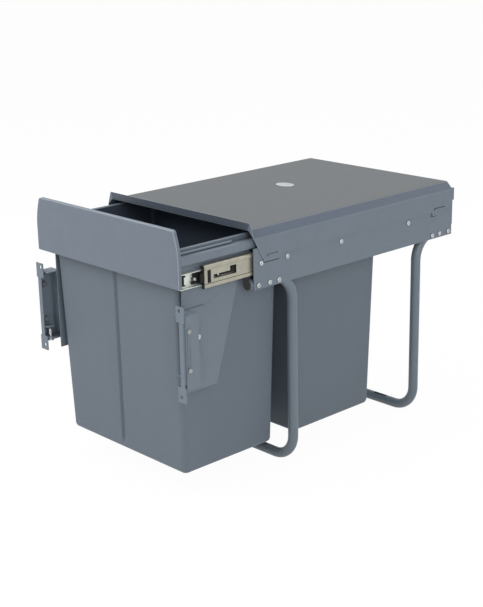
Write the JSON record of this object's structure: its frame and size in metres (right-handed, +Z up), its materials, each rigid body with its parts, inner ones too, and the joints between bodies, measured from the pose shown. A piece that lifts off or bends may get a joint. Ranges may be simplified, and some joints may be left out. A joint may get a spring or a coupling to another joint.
{
  "type": "pull out trash cabinet",
  "caption": "Pull-out waste bin unit for a base cabinet: a steel frame with a lid on bent tube legs, ball bearing slides, a drawer carriage with a fascia and door brackets, and lift-out bins.",
  "frame": {"origin": "on the cabinet floor, midway between the floor screw slots of the front and the rear leg", "axes": "+Z up, -Y out of the cabinet towards the user, +X to the right as the user sees it"},
  "size_m": [0.357, 0.6095, 0.419],
  "materials": {
    "frame_paint": "powder coat, satin",
    "lid_paint": "powder coat, satin",
    "carriage_paint": "powder coat, satin",
    "fascia_paint": "powder coat, satin",
    "slide_zinc": "zinc plated, rolled",
    "slide_zinc_warm": "zinc plated, rolled",
    "cage_steel": "bare spring strip",
    "ball_steel": "ground and polished",
    "screw_steel": "zinc plated",
    "black_plastic": "moulded, fine grain",
    "bin_plastic": "moulded, fine grain",
    "handle_wire": "coated wire",
    "badge_plate": "blank, smooth"
  },
  "bodies": {
    "frame": {"side_plate_right": "frame_paint", "side_plate_left": "frame_paint", "front_leg": "frame_paint", "rear_leg": "frame_paint", "tube_plugs": "black_plastic", "leg_screws": "screw_steel", "slide_screws": "screw_steel", "slide_outer_right": "slide_zinc", "slide_outer_left": "slide_zinc", "lid": "lid_paint", "lid_badge": "badge_plate", "rear_cross_piece": "frame_paint"},
    "carriage": {"fascia": "fascia_paint", "fascia_screws": "screw_steel", "front_cross_rail": "carriage_paint", "middle_cross_rail": "carriage_paint", "rear_cross_rail": "carriage_paint", "side_rail_right": "carriage_paint", "side_rail_left": "carriage_paint", "slide_inner_right": "slide_zinc", "slide_inner_left": "slide_zinc", "carriage_screws": "screw_steel", "wing_screws": "screw_steel", "wing_right": "carriage_paint", "wing_left": "carriage_paint", "lever_pins": "screw_steel", "bracket_tray_right": "carriage_paint", "bracket_tray_left": "carriage_paint", "tray_screws": "screw_steel", "clamp_screws": "screw_steel", "adjusting_bolts": "screw_steel"},
    "front_bin": {"front_bin": "bin_plastic"},
    "rear_bin": {"rear_bin": "bin_plastic"},
    "front_handle": {"front_handle": "handle_wire"},
    "rear_handle": {"rear_handle": "handle_wire"},
    "middle_slide_right": {"slide_middle_right": "slide_zinc_warm", "slide_bumper_right": "black_plastic"},
    "outer_cage_right": {"outer_ball_cage_right": "cage_steel", "outer_balls_right": "ball_steel"},
    "inner_cage_right": {"inner_ball_cage_right": "cage_steel", "inner_balls_right": "ball_steel"},
    "lever_right": {"release_lever_right": "black_plastic"},
    "door_plate_right": {"door_plate_right": "carriage_paint"},
    "middle_slide_left": {"slide_middle_left": "slide_zinc_warm", "slide_bumper_left": "black_plastic"},
    "outer_cage_left": {"outer_ball_cage_left": "cage_steel", "outer_balls_left": "ball_steel"},
    "inner_cage_left": {"inner_ball_cage_left": "cage_steel", "inner_balls_left": "ball_steel"},
    "lever_left": {"release_lever_left": "black_plastic"},
    "door_plate_left": {"door_plate_left": "carriage_paint"}
  },
  "joints": [
    {"name": "drawer_slide", "type": "slide", "parent": "frame", "child": "carriage", "axis": [0, -1, 0], "range_m": [-0.13, 0.31]},
    {"name": "middle_slide_right", "type": "slide", "parent": "frame", "child": "middle_slide_right", "axis": [0, -1, 0], "range_m": [-0.091, 0.217]},
    {"name": "outer_cage_slide_right", "type": "slide", "parent": "frame", "child": "outer_cage_right", "axis": [0, -1, 0], "range_m": [-0.0455, 0.1085]},
    {"name": "inner_cage_slide_right", "type": "slide", "parent": "frame", "child": "inner_cage_right", "axis": [0, -1, 0], "range_m": [-0.1105, 0.2635]},
    {"name": "middle_slide_left", "type": "slide", "parent": "frame", "child": "middle_slide_left", "axis": [0, -1, 0], "range_m": [-0.091, 0.217]},
    {"name": "outer_cage_slide_left", "type": "slide", "parent": "frame", "child": "outer_cage_left", "axis": [0, -1, 0], "range_m": [-0.0455, 0.1085]},
    {"name": "inner_cage_slide_left", "type": "slide", "parent": "frame", "child": "inner_cage_left", "axis": [0, -1, 0], "range_m": [-0.1105, 0.2635]},
    {"name": "lever_hinge_right", "type": "hinge", "parent": "carriage", "child": "lever_right", "pos_m": [0.1606, -0.298, 0.342], "axis": [-1, 0, 0], "range_deg": [0, 6], "stiffness_Nm_per_rad": 0.02},
    {"name": "lever_hinge_left", "type": "hinge", "parent": "carriage", "child": "lever_left", "pos_m": [-0.1606, -0.298, 0.342], "axis": [-1, 0, 0], "range_deg": [0, 6], "stiffness_Nm_per_rad": 0.02},
    {"name": "door_plate_slide_right", "type": "slide", "parent": "carriage", "child": "door_plate_right", "axis": [0, 0, 1], "range_m": [-0.003, 0.003]},
    {"name": "door_plate_slide_left", "type": "slide", "parent": "carriage", "child": "door_plate_left", "axis": [0, 0, 1], "range_m": [-0.003, 0.003]},
    {"name": "front_bin_lift", "type": "slide", "parent": "carriage", "child": "front_bin", "axis": [0, 0, 1], "range_m": [0, 0.005]},
    {"name": "rear_bin_lift", "type": "slide", "parent": "carriage", "child": "rear_bin", "axis": [0, 0, 1], "range_m": [0, 0.005]},
    {"name": "front_handle_hinge", "type": "hinge", "parent": "front_bin", "child": "front_handle", "pos_m": [0, -0.2608, 0.3813], "axis": [-1, 0, 0], "range_deg": [0, 120]},
    {"name": "rear_handle_hinge", "type": "hinge", "parent": "rear_bin", "child": "rear_handle", "pos_m": [0, -0.0334, 0.3813], "axis": [-1, 0, 0], "range_deg": [0, 4]}
  ],
  "couplings": [
    {"joint": "middle_slide_right", "follows": "drawer_slide", "ratio": 0.7},
    {"joint": "outer_cage_slide_right", "follows": "drawer_slide", "ratio": 0.35},
    {"joint": "inner_cage_slide_right", "follows": "drawer_slide", "ratio": 0.85},
    {"joint": "middle_slide_left", "follows": "drawer_slide", "ratio": 0.7},
    {"joint": "outer_cage_slide_left", "follows": "drawer_slide", "ratio": 0.35},
    {"joint": "inner_cage_slide_left", "follows": "drawer_slide", "ratio": 0.85}
  ]
}
